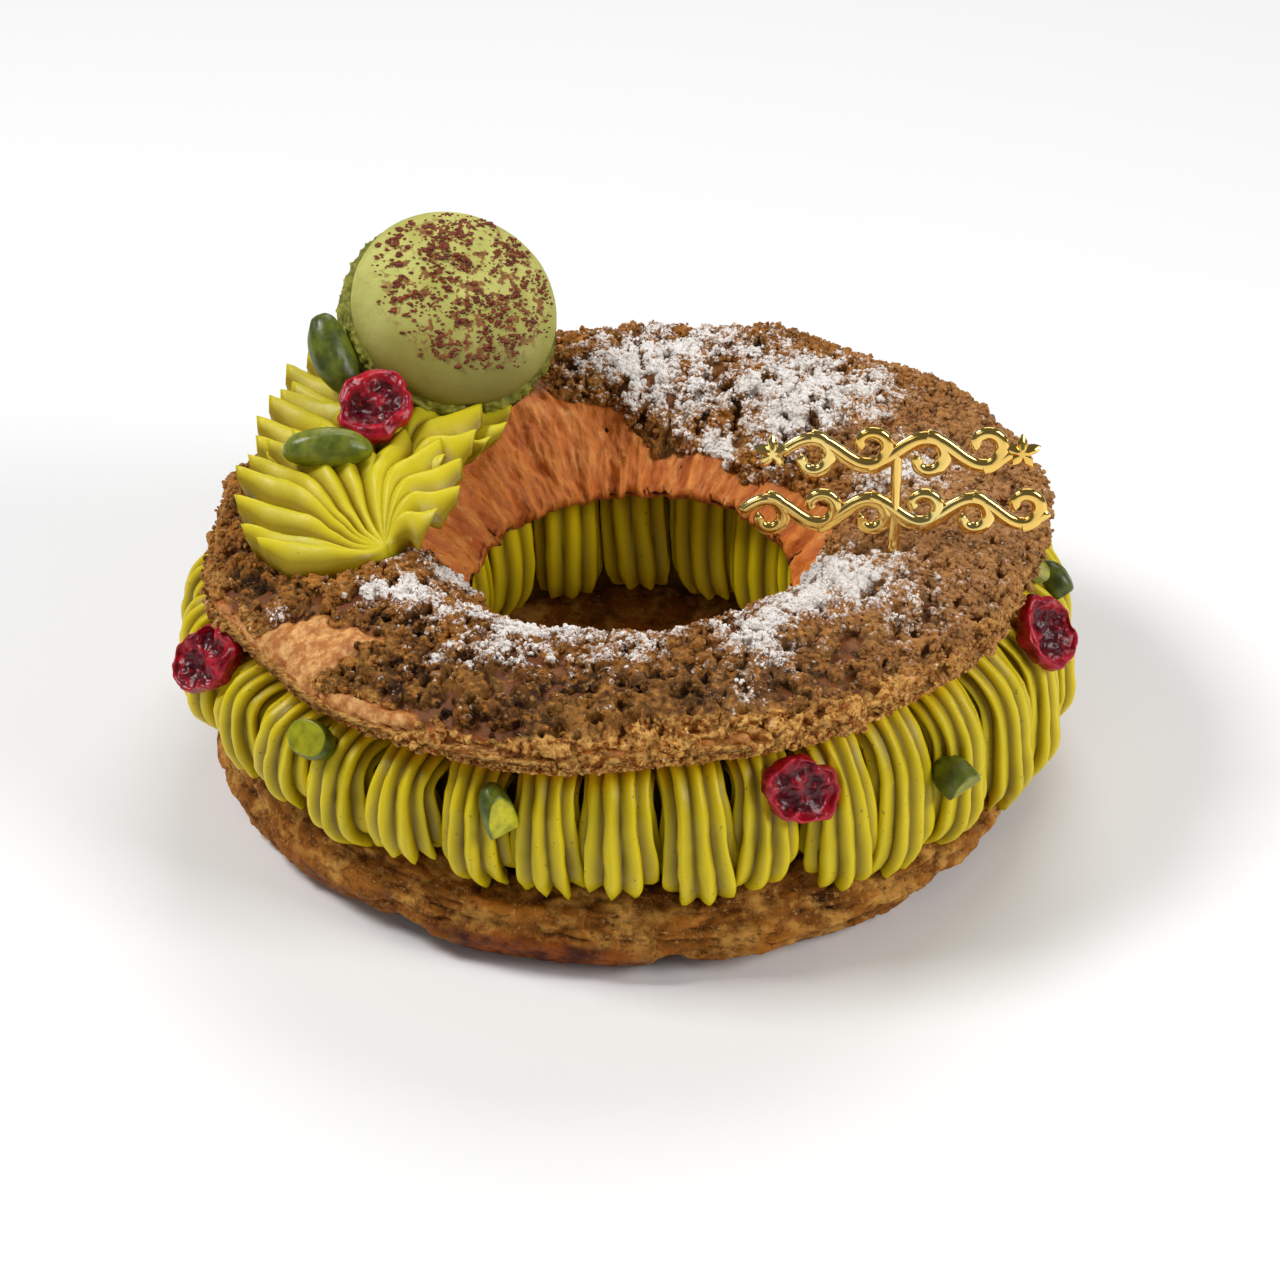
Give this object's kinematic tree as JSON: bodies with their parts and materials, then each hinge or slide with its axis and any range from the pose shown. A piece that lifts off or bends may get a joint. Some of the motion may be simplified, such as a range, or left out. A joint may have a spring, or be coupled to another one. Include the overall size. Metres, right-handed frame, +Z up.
{
  "type": "paris brest pastry",
  "caption": "Choux ring split and filled with piped pistachio cream, its crackled lid dressed with piped shells, a macaron, nuts, berries and a gilt ornament.",
  "frame": {"origin": "on the surface that the cake stands on, under the middle of its outline", "axes": "+Z up, -Y to the front, +X to the right seen from the front"},
  "size_m": [0.1606, 0.1447, 0.083],
  "materials": {
    "choux_base": "baked choux, golden brown, dry and matt",
    "pistachio_cream": "smooth buttery cream, yellow green, satin",
    "crackled_lid": "brown crackled sugar crust dusted with white sugar",
    "piped_cream": "smooth buttery cream, bright yellow green, satin",
    "macaron_cap": "matt almond meringue, pale green, dusted with red-brown specks",
    "macaron_filling": "dark green paste",
    "pistachio_skin": "dark green nut skin, waxy",
    "pistachio_cut": "bright yellow-green nut flesh, waxy",
    "cranberry": "dried cranberry, dark red, moist and wrinkled",
    "gilt": "mirror gold film"
  },
  "bodies": {
    "root": {"crust_bottom": "choux_base", "cream_filling": "pistachio_cream", "crust_top": "crackled_lid", "piped_shells": "piped_cream", "macaron_front": "macaron_cap", "macaron_filling": "macaron_filling", "macaron_back": "macaron_cap", "pistachio_top_front": "pistachio_skin", "pistachio_top_back": "pistachio_skin", "pistachio_side_left": "pistachio_cut", "pistachio_side_front": "pistachio_cut", "pistachio_side_right": "pistachio_cut", "pistachio_far_right": "pistachio_skin", "pistachio_chip_right": "pistachio_cut", "cranberry_top": "cranberry", "cranberry_side_left": "cranberry", "cranberry_side_front": "cranberry", "cranberry_side_right": "cranberry", "gilt_ornament": "gilt"}
  },
  "joints": []
}
